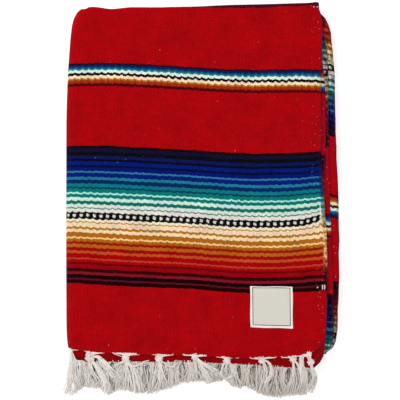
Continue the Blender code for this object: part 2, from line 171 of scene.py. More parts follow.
def spiral(columns, y, depth, selvedge):
    # Points of the cloth round the section at y. Columns are (zone, share of it): 0 top, 1 left fold,
    # 2 floor, 3 right fold, 4 the tuck below the top third
    zone, share = columns
    leftRadius, rightRadius = stack["leftFold"], stack["rightFold"]
    leftAxis = side("left", y) + leftRadius
    rightAxis = side("fold", y) - rightRadius
    tuckEdge = between(side("fold", y), side("left", y), stack["tuck"])
    turn = math.pi * share
    zones = [zone == k for k in range(5)]
    x = np.select(zones, [
        between(selvedge, leftAxis, share),
        leftAxis - (leftRadius - depth) * np.sin(turn),
        between(leftAxis, rightAxis, share),
        rightAxis + (rightRadius - depth) * np.sin(turn),
        between(rightAxis, tuckEdge, share),
    ])
    z = np.select(zones, [
        stack["height"] - depth + 0 * x,
        leftRadius + (leftRadius - depth) * np.cos(turn) + 0 * x,
        depth + 0 * x,
        rightRadius - (rightRadius - depth) * np.cos(turn) + 0 * x,
        stack["innerHeight"] - depth + 0 * x,
    ])
    lower = np.select(zones, [0 * share, share, 1 + 0 * share, 1 + 0 * share, 1 + 0 * share])
    middle = np.select(zones, [0 * share, 0 * share, 0 * share, share, 1 + 0 * share])
    return x, z, lower, middle


def frontIn(lower, middle):
    return between(stack["lowerFrontIn"] * lower, stack["middleFrontIn"], middle)


def backIn(lower, middle):
    return between(stack["lowerBackIn"] * lower, stack["middleBackIn"], middle)


def columnsFrom(counts):  # the zones' columns, closer together by the selvedge
    zone, share = [], []
    for k, count in enumerate(counts):
        steps = np.linspace(0, 1, count, endpoint=(k == len(counts) - 1))
        if k == 0:
            steps = between(steps, steps ** 2, 0.35)
        zone += [k] * count
        share += list(steps)
    return np.array(zone)[None, :], np.array(share)[None, :]


# Meshes


def meshFrom(name, points, faces, attributes=None, material=None):
    mesh = bpy.data.meshes.new(name)
    mesh.from_pydata((points * mm).tolist(), [], faces.tolist())
    for key, values in (attributes or {}).items():
        kind, field = ("FLOAT_VECTOR", "vector") if values.ndim == 2 else ("FLOAT", "value")
        made = mesh.attributes.new(key, kind, "POINT")
        made.data.foreach_set(field, values.astype(np.float32).ravel())
    mesh.shade_smooth()
    piece = bpy.data.objects.new(name, mesh)
    scene.collection.objects.link(piece)
    if material:
        mesh.materials.append(material)
    return piece


def facingOut(points, faces):  # turns the faces round if they enclose the volume inside out
    a, b, c, d = (points[faces[:, k]] for k in range(4))
    volume = (np.einsum("ij,ij->i", a, np.cross(b, c)) + np.einsum("ij,ij->i", a, np.cross(c, d))).sum()
    return faces if volume > 0 else faces[:, ::-1]


def unit(vectors):
    return vectors / np.maximum(np.linalg.norm(vectors, axis=-1, keepdims=True), 1e-9)


def clothShell(name, mid, thick, thread, material, rimLoops=3):
    # A sheet with real thickness and rounded edges on both sides of the surface `mid`
    rows, cols = mid.shape[:2]
    along, across = np.gradient(mid, axis=0), np.gradient(mid, axis=1)
    normal = unit(np.cross(along, across))
    thick = np.broadcast_to(thick, (rows, cols))[..., None]
    out = np.zeros_like(mid)
    out[0] -= unit(along[0])
    out[-1] += unit(along[-1])
    out[:, 0] -= unit(across[:, 0])
    out[:, -1] += unit(across[:, -1])
    out = unit(out)
    ring = [(0, j) for j in range(cols)] + [(i, cols - 1) for i in range(1, rows)]
    ring += [(rows - 1, j) for j in range(cols - 2, -1, -1)] + [(i, 0) for i in range(rows - 2, 0, -1)]
    around, ring = len(ring), tuple(np.array(ring).T)
    layers = [(mid + normal * thick / 2).reshape(-1, 3), (mid - normal * thick / 2).reshape(-1, 3)]
    for loop in range(1, rimLoops + 1):
        turn = math.pi * loop / (rimLoops + 1)
        half = thick[ring] / 2
        layers.append(mid[ring] + normal[ring] * half * math.cos(turn) + out[ring] * half * math.sin(turn))
    points = np.concatenate(layers)
    count = rows * cols
    grid = np.arange(count).reshape(rows, cols)
    quads = np.stack([grid[:-1, :-1], grid[1:, :-1], grid[1:, 1:], grid[:-1, 1:]], -1).reshape(-1, 4)
    loops = [grid[ring]]
    loops += [2 * count + k * around + np.arange(around) for k in range(rimLoops)]
    loops += [count + grid[ring]]
    faces = [quads, count + quads[:, ::-1]]
    for one, two in zip(loops, loops[1:]):
        faces.append(np.stack([one, np.roll(one, -1), np.roll(two, -1), two], -1))
    faces = facingOut(points, np.concatenate(faces))
    thread = np.concatenate([thread.reshape(-1, 3)] * 2 + [thread[ring]] * rimLoops)
    return meshFrom(name, points, faces, {"thread": thread}, material)


def alongCloth(mid, axis):  # distance travelled over a sheet's rows or columns
    steps = np.linalg.norm(np.diff(mid, axis=axis), axis=-1)
    return np.concatenate([np.zeros_like(np.take(steps, [0], axis)), np.cumsum(steps, axis)], axis)


# Shader maths: a wire is a socket that Python sums work on


def worked(operation, turned=False):  # a method that adds a maths node, with its two sides turned or not
    def method(self, other=0.0):
        a, b = (other, self) if turned else (self, other)
        return self.shading.sum(operation, a, b)
    return method


class Wire:
    def __init__(self, shading, socket):
        self.shading, self.socket = shading, socket

    __add__, __radd__ = worked("ADD"), worked("ADD", True)
    __sub__, __rsub__ = worked("SUBTRACT"), worked("SUBTRACT", True)
    __mul__, __rmul__ = worked("MULTIPLY"), worked("MULTIPLY", True)
    __truediv__, __mod__ = worked("DIVIDE"), worked("FLOORED_MODULO")
    __pow__, __abs__ = worked("POWER"), worked("ABSOLUTE")
    __gt__, __lt__ = worked("GREATER_THAN"), worked("LESS_THAN")


class Shading:
    def __init__(self, name, **fixed):
        self.material = bpy.data.materials.new(name)
        self.material.use_nodes = True
        self.tree = self.material.node_tree
        self.surface = self.tree.nodes["Principled BSDF"]
        for key, value in fixed.items():
            self.surface.inputs[key.replace("_", " ")].default_value = value

    def feed(self, socket, value):
        if isinstance(value, Wire):
            self.tree.links.new(value.socket, socket)
        else:
            socket.default_value = value

    def node(self, kind, settings=None, inputs=None, output=0):
        made = self.tree.nodes.new("ShaderNode" + kind)
        for key, value in (settings or {}).items():
            if key == "stops":
                ramp = made.color_ramp
                while len(ramp.elements) < len(value):
                    ramp.elements.new(1.0)
                for stop, (place, colour) in zip(ramp.elements, value):
                    stop.position, stop.color = place, colour
            elif key == "blend":
                made.color_ramp.interpolation = value
            else:
                setattr(made, key, value)
        for key, value in (inputs or {}).items():
            self.feed(made.inputs[key], value)
        return Wire(self, made.outputs[output])

    def sum(self, operation, a, b=0.0):
        return self.node("Math", {"operation": operation}, {0: a, 1: b})

    def mix(self, mask, a, b, blend="MIX"):
        settings = {"data_type": "RGBA", "blend_type": blend, "clamp_factor": True}
        return self.node("Mix", settings, {0: mask, 6: a, 7: b}, 2)

    def noise(self, place, scale, detail=2.0, rough=0.5):
        inputs = {"Vector": place, "Scale": scale, "Detail": detail, "Roughness": rough}
        return self.node("TexNoise", {}, inputs)

    def near(self, value, middle, half):
        return abs(value - middle) < half

    def shade(self, colour, share):
        grey = self.node("CombineColor", {}, {0: share, 1: share, 2: share})
        return self.mix(1.0, colour, grey, "MULTIPLY")

    def range(self, value, low, high, newLow=0.0, newHigh=1.0):
        return self.node("MapRange", {"clamp": True}, {0: value, 1: low, 2: high, 3: newLow, 4: newHigh})

    def fade(self, value, low, high, full=1.0):
        return self.range(value, low, high, full, 0.0)

    def place(self, x, y, z=0.0):
        return self.node("CombineXYZ", {}, {0: x, 1: y, 2: z})

    def split(self, name):
        vector = self.node("Attribute", {"attribute_name": name}, {}, 1)
        return [self.node("SeparateXYZ", {}, {0: vector}, k) for k in range(3)]

    def finish(self, colour, rough, height=None, depth=0.001, strength=1.0):
        self.feed(self.surface.inputs["Base Color"], colour)
        self.feed(self.surface.inputs["Roughness"], rough)
        if height:
            bump = self.node("Bump", {}, {"Height": height, "Distance": depth, "Strength": strength})
            self.feed(self.surface.inputs["Normal"], bump)
        return self.material


def yarn(code):  # a dyed yarn's colour from its sRGB hex code
    parts = [int(code[k:k + 2], 16) / 255 for k in (0, 2, 4)]
    return (*[p / 12.92 if p <= 0.04045 else ((p + 0.055) / 1.055) ** 2.4 for p in parts], 1)


# The woven stripes. Rows are (yarn, thickness in mm) outwards from a band's middle, matched to the photo
stripes = {
    "period": 436.5,
    "beadPitch": 10.3,
    "beadHalf": 5.4,
    "ground": "a80108",
    "wideUp": (
        ("e2e0d6", 5.4), ("45675c", 1.8), ("d3e4d8", 5.3), ("0e6a60", 4.6), ("c8ebdd", 5.3), ("0a726b", 5.4),
        ("a6ece0", 2.3), ("067470", 6.1), ("003c58", 2.5), ("0b7482", 5.2), ("002a5c", 5.4), ("217794", 4.6),
        ("001e72", 7.1), ("3474a0", 1.9), ("00156a", 6.3), ("00093a", 3.1), ("001a6c", 6.1), ("04041c", 3.8),
        ("081552", 4.6), ("060810", 6.1), ("0c0e30", 5.0), ("180206", 4.2),
    ),
    "wideDown": (
        ("f3e2c6", 3.6), ("a67c30", 1.7), ("f6d7b2", 6.6), ("a8701a", 3.9), ("fad9a8", 4.5), ("ae661a", 6.8),
        ("fbca84", 2.6), ("ab6616", 3.8), ("b04a0c", 1.8), ("8c1600", 3.0), ("bb5a1a", 5.4), ("940800", 5.1),
        ("c04a20", 4.4), ("a00200", 6.9), ("c03826", 1.9), ("a20204", 4.8), ("6c0008", 3.5), ("94000c", 6.1),
        ("340004", 4.5), ("801220", 4.9), ("160004", 5.7), ("5a1020", 2.6), ("1c0002", 6.1),
    ),
    "smallUp": (
        ("120c0c", 2.5), ("dceee2", 3.6), ("1f7c88", 3.0), ("0a4676", 2.8), ("081c56", 2.7), ("200610", 3.3),
    ),
    "smallDown": (
        ("120c0c", 1.6), ("fbe0bc", 4.0), ("b8701e", 2.9), ("a2300c", 3.5), ("8c0804", 2.0), ("440208", 3.3),
    ),
    "firstSmall": -190.0,
    "lastSmall": 1936.0,
    "wideReach": 105.0,
    "smallReach": 30.0,
    "beadBlack": "0d0b0e",
    "beadWhite": "e9e6dc",
    "beadBlock": (2.3, 2.6),  # half its width and half its length
    "climb": (42.0, 5.2),  # how wide the bead row climbs by the selvedge, and how high
    "zigzag": 0.8,
    "uneven": (3.0, 2.2, 2.6),  # slow, fine and very fine wander of the rows
    "rib": 2.575,
    "weftPitch": 1.5,
    "sheen": 0.01,
}

# The selvedges, where the weft turns, and the ends that show there
selvedges = {
    # The last two colours are painted shade, for the selvedges' outer edges and for the back fold
    "yarns": {"teal": "0e5f5c", "navy": "051e54", "dark": "1c0a0e", "ochre": "8a5320", "cream": "ecc99c",
              "black": "0e0c0e", "paintedEdgeShade": "4a1230", "paintedFoldShade": "6e1226", "white": "e6dcda"},
    "tealTo": (28.0, 40.0),  # from a band's middle
    "navyTo": (76.0, 90.0),
    "paleFrom": (-78.0, -55.0),  # along the top selvedge
    "paleTo": (6.0, 14.0),
    "turn": (2.0, 5.0, 0.78),  # places across, and the cover that fades there
    # This and the next three entries set painted shade: over the coiled lower selvedges, along the selvedges'
    # outer edges, at the back fold and over the second layer's lower end
    "ropeShade": (7.0, 14.0, 1.0),
    "paintedEdgeShade": (0.5, 3.2, 0.42),
    "backFold": (327.0, 333.0, 0.0, 0.38),  # two places along, and the cover at each
    "secondEndShade": (1928.0, 1945.0, 0.0, 0.32),
    # Loose white floats: across and half width, along and half length
    "floats": ((2.5, 0.75, -100.2, 3.4), (5.8, 0.75, -100.2, 3.4), (13.6, 0.9, -100.2, 0.9),
               (1.7, 0.7, 329.5, 0.7), (7.1, 0.7, 329.5, 0.7), (5.4, 0.6, 17.0, 7.0)),
}
halfPeriod = stripes["period"] / 2


def chart(rows, start):  # ramp stops over half a period: the rows, then the ground
    stops, place = [], start
    for code, thick in rows:
        stops.append((place / halfPeriod, yarn(code)))
        place += thick
    stops.append((place / halfPeriod, yarn(stripes["ground"])))
    if start > 0:
        stops.insert(0, (0.0, stops[0][1]))
    return stops


def stripedCloth():
    cloth = Shading("stripedCloth", Sheen_Weight=stripes["sheen"], Sheen_Roughness=0.6,
                    Specular_IOR_Level=0.02)
    along, across, layer = cloth.split("thread")
    here = cloth.place(along, across)
    fromWide = abs((along + halfPeriod) % stripes["period"] - halfPeriod)
    fromSmall = abs(along % stripes["period"] - halfPeriod)
    onTop, inBand = layer < 1.5, fromWide < stripes["wideReach"]

    def uneven(alongRate, acrossRate, detail=2.0, rough=0.5):
        return cloth.noise(cloth.place(along * alongRate, across * acrossRate), 1.0, detail, rough)

    # Rows waver with the warp groups, most beside the beads and in the small band, and a little on their own
    sway = uneven(0.09, 0.035)
    group = across * (2 * math.pi / stripes["beadPitch"]) + (sway - 0.5) * 3.0
    wave = cloth.sum("SINE", group) + 0.3 * cloth.sum("SINE", group * 2.0 + 0.9)
    lively = cloth.range(fromWide, 12.0, 95.0, 1.0, 0.2) + cloth.fade(fromSmall, 0.0, 25.0, 1.1)
    wave = wave * cloth.range(sway, 0.3, 0.7, 0.35, 1.5) * lively
    slow = uneven(0.03, 0.045, 3.0) - 0.5
    fine = uneven(0.3, 0.42) - 0.5
    grain = uneven(1.6, 1.1) - 0.5
    # The bead row climbs beside the top selvedge, and the rows next to it give way
    climbWide, climbHigh = stripes["climb"]
    climb = cloth.fade(across, 0.0, climbWide) ** 2.0 * cloth.range(along, -11.0, -5.0)
    climb = climb * cloth.fade(along, 6.0, 15.0, climbHigh) * onTop
    slowSize, fineSize, grainSize = stripes["uneven"]
    length = along - climb + wave * stripes["zigzag"]
    length = length + slow * slowSize + fine * fineSize + grain * grainSize
    wide = (length + halfPeriod) % stripes["period"] - halfPeriod
    small = length % stripes["period"] - halfPeriod
    wideFar, smallFar = abs(wide), abs(small)

    def rows(name, far, start=0.0):
        settings = {"stops": chart(stripes[name], start), "blend": "CONSTANT"}
        return cloth.node("ValToRGB", settings, {0: far / halfPeriod})

    wideColour = cloth.mix(wide > 0.0, rows("wideDown", wideFar, stripes["beadHalf"]),
                           rows("wideUp", wideFar, stripes["beadHalf"]))
    smallColour = cloth.mix(small > 0.0, rows("smallDown", smallFar), rows("smallUp", smallFar))
    woven = (along > stripes["firstSmall"]) * (along < stripes["lastSmall"])
    colour = cloth.mix(woven * (smallFar < stripes["smallReach"]), wideColour, smallColour)
    # Bead row: blocks of white weft, a few picks each, on a black row
    bead = (across + 0.3 * wide) % stripes["beadPitch"] - stripes["beadPitch"] / 2
    pick = uneven(0.9, 0.35, 1.0) - 0.5
    blockWide, blockLong = stripes["beadBlock"]
    inBead = (abs(bead + pick * 3.0) / blockWide) ** 3.0 + (abs(wide - 0.2) / blockLong) ** 3.0
    pickGap = cloth.range(cloth.sum("SINE", wide * 3.1 + pick * 5.0), 0.3, 1.0, 0.0, 0.65)
    black = yarn(stripes["beadBlack"])
    beadWhite = cloth.mix(pickGap, yarn(stripes["beadWhite"]), black)
    beadRow = cloth.mix(cloth.range(inBead, 0.7, 1.1), beadWhite, black)
    beadHalf = stripes["beadHalf"] * cloth.range(across + (1.0 - onTop) * 9.0, 4.0, 9.0, 0.35, 1.0)
    colour = cloth.mix(wideFar < beadHalf, colour, beadRow)
    # Yarns are dyed unevenly: slubs along the weft, drifts of hue, faint ribs over the warp, pale lint
    slub = uneven(0.8, 0.3, 3.0, 0.6)
    blotch = cloth.noise(here, 0.03, 3.0)
    rib = cloth.sum("SINE", across * (2 * math.pi / stripes["rib"]))
    wideRib = cloth.sum("SINE", group * 2.0) * cloth.noise(here, 0.06, 2.0)
    light = 0.87 + (slub - 0.5) * 0.9 + (blotch - 0.5) * 0.5 + rib * 0.05 + wideRib * 0.07
    drift = cloth.node("TexNoise", {}, {"Vector": cloth.place(along * 0.16, across * 0.045), "Scale": 1.0}, 1)
    hue = cloth.node("VectorMath", {"operation": "MULTIPLY_ADD"}, {0: drift, 1: [0.4] * 3, 2: [0.8] * 3})
    colour = cloth.mix(1.0, colour, hue, "MULTIPLY")
    colour = cloth.shade(colour, light)
    lint = uneven(0.45, 1.0, 3.0, 0.7)
    colour = cloth.mix(cloth.range(lint, 0.58, 0.8, 0.0, 0.12), colour, yarn("b98ba0"))
    cells = {"Vector": here, "Scale": 0.075}
    spots = cloth.node("TexVoronoi", {}, cells)
    chance = cloth.node("TexWhiteNoise", {}, {0: cloth.node("TexVoronoi", {}, cells, 2)})
    fleck = cloth.fade(spots, 0.035, 0.065) * cloth.range(chance, 0.5, 1.0, 0.0, 0.8)
    colour = cloth.mix(fleck, colour, yarn("b4868c"), "ADD")
    specks = cloth.node("TexVoronoi", {}, {"Vector": here, "Scale": 0.2})
    edgeSpeck = (specks < 0.115) * cloth.fade(across + blotch * 14.0, 11.0, 26.0, 0.85)
    colour = cloth.mix(edgeSpeck, colour, yarn("b08488"), "ADD")
    # The top selvedge: the weft turns round the last warps and its colours run together
    patch = uneven(0.17, 0.2)
    dyed = {name: yarn(code) for name, code in selvedges["yarns"].items()}
    pale = cloth.range(along, *selvedges["paleFrom"]) * cloth.fade(along, *selvedges["paleTo"])
    deep = cloth.mix(cloth.range(fromWide, *selvedges["tealTo"]), dyed["teal"], dyed["navy"])
    deep = cloth.mix((along < 0.0) + cloth.range(fromWide, *selvedges["navyTo"]), deep, dyed["dark"])
    edgeYarn = cloth.mix(cloth.range(patch, 0.45, 0.58), dyed["ochre"], dyed["cream"])
    edgeYarn = cloth.mix(pale, deep, edgeYarn)
    edgeYarn = cloth.mix((fromWide < 13.0) * (patch > 0.5), edgeYarn, dyed["black"])
    turned = cloth.fade(across + fine * 5.0, *selvedges["turn"]) * inBand
    colour = cloth.mix(turned * onTop, colour, edgeYarn)
    # The selvedges below it: coiled into a cord of turned yarns, partly darker yarn and partly painted shade,
    # and painted shadow over the lower end of the second layer
    # Painted shade over the coiled selvedges of the lower layers, in blotches
    coil = cloth.noise(cloth.place(along * 0.11, across * 0.25, layer * 3.0), 1.0, 2.0)
    bright = cloth.range(along, 560.0, 800.0, 1.0, 0.42) + (along > 892.0) * 0.33
    coil = cloth.range(coil, 0.36, 0.62, bright * 0.25, bright)
    ropeShade = cloth.fade(across, *selvedges["ropeShade"]) * inBand * (1.0 - onTop)
    # Painted shadow over the lower end of the second layer, which lies under the top layer's end
    secondEndShade = cloth.range(along, *selvedges["secondEndShade"])
    colour = cloth.shade(colour, 1.0 - cloth.sum("MAXIMUM", ropeShade * (1.0 - coil), secondEndShade))
    # Painted shade: a dark edge along the selvedges, except along the top layer's band
    paintedEdgeShade = cloth.fade(across, *selvedges["paintedEdgeShade"]) * (1.0 - onTop * inBand)
    colour = cloth.mix(paintedEdgeShade, colour, dyed["paintedEdgeShade"])
    # Painted shade: the top layer darkens towards the back fold, where it curves away from the light
    colour = cloth.mix(cloth.range(along, *selvedges["backFold"]) * onTop, colour, dyed["paintedFoldShade"])
    floats = 0.0
    for x, halfWide, y, halfLong in selvedges["floats"]:
        floats = floats + cloth.near(across, x, halfWide) * cloth.near(along, y, halfLong)
    colour = cloth.mix(floats * onTop * 0.9, colour, dyed["white"])
    # Plain weave: the weft's rounded rows over the ribs of the warp, with a little nap
    weftRow = cloth.sum("SINE", along * (2 * math.pi / stripes["weftPitch"]) + rib * 0.8)
    nap = cloth.noise(here, 1.3, 3.0, 0.7)
    lift = rib * 0.28 + weftRow * 0.16 + nap * 0.7 + wave * 0.1
    rough = cloth.range(nap, 0.3, 0.7, 0.82, 0.98)
    return cloth.finish(colour, rough, lift, 0.0008, 0.55)


def fringeCotton():
    cotton = Shading("fringeCotton", Sheen_Weight=0.3, Sheen_Roughness=0.5, Specular_IOR_Level=0.25)
    along, cosine, sine = cotton.split("round")
    tint = cotton.node("Attribute", {"attribute_name": "tint"}, {}, 2)
    twist = along * 1.7
    ply = (cosine * cosine - sine * sine) * cotton.sum("COSINE", twist)
    ply = ply - 2.0 * cosine * sine * cotton.sum("SINE", twist)
    fluff = cotton.noise(cotton.place(along * 0.8, cosine * 1.5 + tint * 40.0, sine * 1.5), 1.0, 3.0, 0.65)
    colour = cotton.mix(tint, yarn("c9beb3"), yarn("fffaf6"))
    # Painted shade in the grooves between the plies
    colour = cotton.mix(cotton.fade(ply, -1.0, -0.4, 0.35), colour, yarn("b5aa9e"))
    colour = cotton.mix(cotton.fade(fluff, 0.3, 0.7, 0.2), colour, yarn("bdb2a7"))
    # Painted reflection: a pink cast of the red cloth near the roots of the front row's yarns
    colour = cotton.mix(cotton.fade(along, 5.0, 18.0, 0.45), colour, yarn("ffe4dc"))
    return cotton.finish(colour, cotton.range(fluff, 0.3, 0.7, 0.8, 0.97), ply * 0.6 + fluff, 0.0004, 0.7)


print("materials")
clothFinish = stripedCloth()
fringeFinish = fringeCotton()

# The outer layer: the top panel, round the left fold, under, round the right fold and in below the top third
outer = {
    "columns": (118, 16, 26, 11, 16),
    "rows": 148,
    "wrapRows": 11,
    "edgeWobble": 0.5,
    "edgeSwell": 0.5,
    "beadX": (-212, -196.7, -147.6, -98.4, -49.2, -12.3, 24.6, 61.5, 86.1, 123, 147.6, 172.1, 190),
    "beadY": (-25, -23.4, -25, -27.3, -29.5, -31.4, -34.2, -36.4, -37.3, -36.9, -35.6, -32.4, -29.3),
    "smallY": (189.5, 191.9, 193.2, 191.7, 188.8, 186.7, 184.2, 182.8, 182.2, 182.8, 183.1, 182.4, 180.7),
    "lowY": (-129, -127.8, -130.8, -133.5, -135.3, -137.1, -140.1, -142.7, -143.7, -143.4, -141.8, -140.6,
             -139.6),
    "lowBand": -105.8,
    "nextY": (304, 304, 304, 303, 300, 297, 295.3, 295.1, 295.3, 296.8, 297.7, 298.2, 298.2),
    "nextBand": 330.7,
    "flat": (1.22, 0.55),
}


def outerPhase(x, y):  # length along the weave from the middle of the first wide band
    tables = ("lowY", "beadY", "smallY", "nextY")
    low, bead, small, following = (smoothLine(x, outer["beadX"], outer[key]) for key in tables)
    below = (bead - y) / (bead - low) * outer["lowBand"]
    toSmall = (y - bead) / (small - bead) * halfPeriod
    beyond = between(halfPeriod, outer["nextBand"], (y - small) / (following - small))
    return np.select([y < bead, y < small], [below, toSmall], beyond)


def outerSheet():
    columns = columnsFrom(outer["columns"])
    share = np.linspace(0, 1, outer["rows"])[:, None]
    share = between(share, share ** 2, 0.15)
    wraps = np.linspace(0, math.pi, outer["wrapRows"] + 1)[1:, None]
    turn = np.concatenate([0 * share, wraps])
    share = np.concatenate([share, np.ones_like(wraps)])
    radius = stack["backFold"]
    depth = depthOf[1] + radius * (1 - np.cos(turn))
    level = between(stack["frontEnd"], stack["backEnd"], share)
    for _ in range(4):  # the sides set where a row lies across, and that sets how far it lies along
        selvedge = side("edge1", level) + outer["edgeWobble"] * ripple(0 * level, level, 14, 21)
        x, z, lower, middle = spiral(columns, level, depth, selvedge)
        front = endOf("first", x) + frontIn(lower, middle) + 0.5 * ripple(x, 0 * x, 11, 22)
        back = endOf("back", x) - backIn(lower, middle) - radius - stack["cloth"] / 2
        level = (level + between(front, back, share) + 3 * np.clip(2 * turn / math.pi, 0, 1)) / 2
    level = between(front, back, share)
    y = level + radius * np.sin(turn)
    phase = outerPhase(x, level + radius * turn)
    mid = np.stack([x, y, settle(x, y, z)], -1)
    across = alongCloth(mid, 1)
    thread = np.stack([phase, across, 0 * x], -1)
    swell = outer["edgeSwell"] * np.exp(-(across / 3.0) ** 2)
    return clothShell("outerLayer", mid, stack["cloth"] + swell, thread, clothFinish)


# The inner layers: 4, 3 and 2 in one strip, folded at the front and again inside the back fold
inner = {
    "columns": (30, 12, 14, 10, 10),
    "layerRows": 34,
    "foldRows": 7,
    "edgeWobble": 0.5,
    # Length along the weave at these places of each layer, from the middle of the first wide band
    "phase4": ((-238, 891), (-222, 887), (-208, 873), (-125, 766), (-9.2, 654.7), (204.4, 436.5), (296, 346)),
    "phase3": ((-238, 894), (-145, 981), (-41, 1091), (196.7, 1309.5), (296, 1409)),
    "phase2": ((-258, 1967), (-36.9, 1746), (181.4, 1527.7), (296, 1414)),
    # How far the rows of layer 4 lean at its selvedge, near the front and the back, and how wide that is
    "slant": (1.5, 5.0, 10.0),
    "flat": (1.22, 1.6),
}


def byLayer(layer, two, three, four):  # values of layers 2, 3 and 4, blended in the folds between them
    return (two * np.clip(3 - layer, 0, 1) + four * np.clip(layer - 3, 0, 1)
            + three * (1 - np.abs(layer - 3)))


def innerSheet():
    columns = columnsFrom(inner["columns"])
    run = np.linspace(0, 1, inner["layerRows"])
    run = between(run, ease(run), 0.6)
    bend = np.linspace(0, math.pi, inner["foldRows"] + 2)[1:-1]
    rows = []  # each row: layer it leaves, layer it comes to, share from front to back, turn of the fold
    rows += [(4, 4, 1 - s, 0.0) for s in run]
    rows += [(4, 3, 0.0, t) for t in bend]
    rows += [(3, 3, s, 0.0) for s in run]
    rows += [(3, 2, 1.0, t) for t in bend]
    rows += [(2, 2, 1 - s, 0.0) for s in run]
    leaves, comes, share, turn = (np.array(values, float)[:, None] for values in zip(*rows))
    radius = stack["smallFold"]
    depth = depthOf[1] + (leaves - 1) * pitch - radius * (1 - np.cos(turn)) * (leaves != comes)
    layer = leaves + (comes - leaves) * turn / math.pi
    level = between(stack["frontEnd"], stack["backEnd"], share)
    for _ in range(4):
        wobble = inner["edgeWobble"] * ripple(layer * 31 + 0 * level, level, 15, 23)
        selvedge = byLayer(layer, *[side("edge%d" % k, level) for k in (2, 3, 4)]) + wobble
        x, z, lower, middle = spiral(columns, level, depth, selvedge)
        folded = endOf("folded", x) + radius + stack["cloth"] / 2
        second = endOf("second", x) + 0.5 * ripple(x, 0 * x, 11, 24)
        front = np.where(layer <= 2.001, second, folded) + frontIn(lower, middle)
        back = endOf("back", x) - backIn(lower, middle) - stack["backFold"] - stack["cloth"] / 2
        back = back - stack["gap"]
        level = (level + between(front, back, share)) / 2
    level = between(front, back, share)
    y = level + radius * np.sin(turn) * np.where(leaves == 4, -1, 1)  # one fold in front, one at the back
    phase = byLayer(layer, *[np.interp(level, *zip(*inner["phase%d" % k])) for k in (2, 3, 4)])
    mid = np.stack([x, y, settle(x, y, z)], -1)
    across = alongCloth(mid, 1)
    frontLean, backLean, wide = inner["slant"]
    lean = between(frontLean, backLean, ease((level + 150) / 270))
    phase = phase - lean * np.clip(layer - 3, 0, 1) * (np.clip(1 - across / wide, 0, 1) - 0.45)
    thread = np.stack([phase, across, layer + 0 * x], -1)
    return clothShell("innerLayers", mid, stack["cloth"], thread, clothFinish)


print("cloth")
outerLayer = outerSheet()
innerLayers = innerSheet()
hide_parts("outer_layer")
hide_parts("hidden_layers")
for piece in (outerLayer, innerLayers):
    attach(piece, "root")

# The fringe. Each row is a curtain of yarns from the end of its layer, and tassels: a knot and its size, then
# locks of yarns as (yarns, half width, places on the way from the knot to the tip)
fringe = {
    "radius": 0.6,
    "steps": 30,
    "sides": 6,
    "gather": 26.0,
    "curtain": (-192.0, 168.0),
    "locks": (27.0, 0.5),  # pitch of the front curtain's locks, and how far its yarns draw together
    "matRadius": 0.85,  # yarns of the rows behind, which lie close as a mat
    "crowd": 2.2,  # how much the roots of a tassel crowd near its knot
    "sag": 0.8,  # how far they hang between root and knot
    "bends": (0.12, 0.7),
    "wave": 2.2,
    "strays": ((0.3, 9), (0.12, 22)),  # chance of a stray yarn, and how far it strays
    "tipLimits": (-208, 175),
    "knotWide": 5.4,
    "knotLong": 4.6,
    "turns": 15,
    "firstTassels": (
        (-199, -231, 0.5, ((16, 6, (-201, -264), (-206, -299)), (11, 5, (-198, -261), (-195, -301)),
            (5, 3, (-192, -246), (-190, -266), (-187, -291)))),
        (-170, -242, 1.35, ((22, 6, (-161, -254), (-149, -274), (-143, -298)),
            (16, 6, (-157, -241), (-144, -256), (-122, -281)),
            (9, 13, (-168, -261), (-163, -286)))),
        (-115, -244, 1.0, ((6, 2, (-124, -252), (-135, -257)), (20, 10, (-112, -264), (-112, -294)),
            (17, 9, (-105, -258), (-98, -277), (-95, -296)),
            (4, 2, (-102, -255), (-90, -252), (-80, -249)))),
        (-63, -244, 1.1, ((16, 9, (-62, -256), (-66, -274), (-72, -297)), (13, 6, (-60, -259), (-54, -289)),
            (5, 2, (-68, -256), (-69, -267), (-61, -273), (-54, -265), (-57, -252)),
            (4, 2, (-56, -250), (-47, -256), (-40, -255), (-34, -248)))),
        (-8, -241, 0.9, ((22, 5, (-1, -251), (8, -267), (15, -282)),
            (9, 4, (2, -249), (18, -260), (34, -274)), (8, 6, (-6, -258), (-3, -279)))),
        (41, -247, 1.0, ((8, 3, (35, -255), (33, -269), (43, -275), (50, -265), (46, -254)),
            (9, 4, (40, -261), (42, -275)), (6, 4, (50, -256), (56, -270), (62, -288)))),
        (95, -246, 1.0, ((18, 3, (103, -248), (109, -257), (109, -270), (100, -282)),
            (13, 9, (101, -264), (96, -299)))),
        (143, -245, 0.95, ((15, 3, (150, -252), (155, -264), (158, -283)),
            (13, 9, (144, -269), (138, -299)))),
        (167, -237, 0.8, ((24, 6, (157, -240), (157, -257), (160, -274), (156, -300)),)),
        (170, -249, 0.9, ((26, 6, (173, -261), (177, -276), (168, -297)),)),
    ),
    "secondTassels": (
        (-185, -252, 0.5, ((7, 4, (-186, -270), (-187, -290)), (2, 1, (-178, -260), (-161, -283)))),
        (55, -266, 0.36, ((16, 8, (55, -272), (55, -290)),)),
    ),
    "rows": (
        # piece and node, end, front in, level, tip level, yarns of the curtain, seed, tassels
        ("fringeUpperOuter", "fringe_upper_outer", "first", 0.0, 34.35, 13.1, 0, 1, "firstTassels"),
        ("fringeUpperInner", "fringe_upper_inner", "second", 0.0, 31.2, 10.7, 400, 2, "secondTassels"),
        ("fringeMiddleOuter", "fringe_middle_outer", "first", 3.0, 22.35, 8.3, 300, 3, None),
        ("fringeMiddleInner", "fringe_middle_inner", "second", 3.0, 19.35, 5.9, 300, 4, None),
        ("fringeLowerOuter", "fringe_lower_outer", "first", 5.0, 1.35, 1.2, 300, 6, None),
        ("fringeLowerInner", "fringe_lower_inner", "second", 5.0, 4.35, 3.5, 300, 5, None),
    ),
}
onWay = np.linspace(0, 1, fringe["steps"])  # steps along a yarn


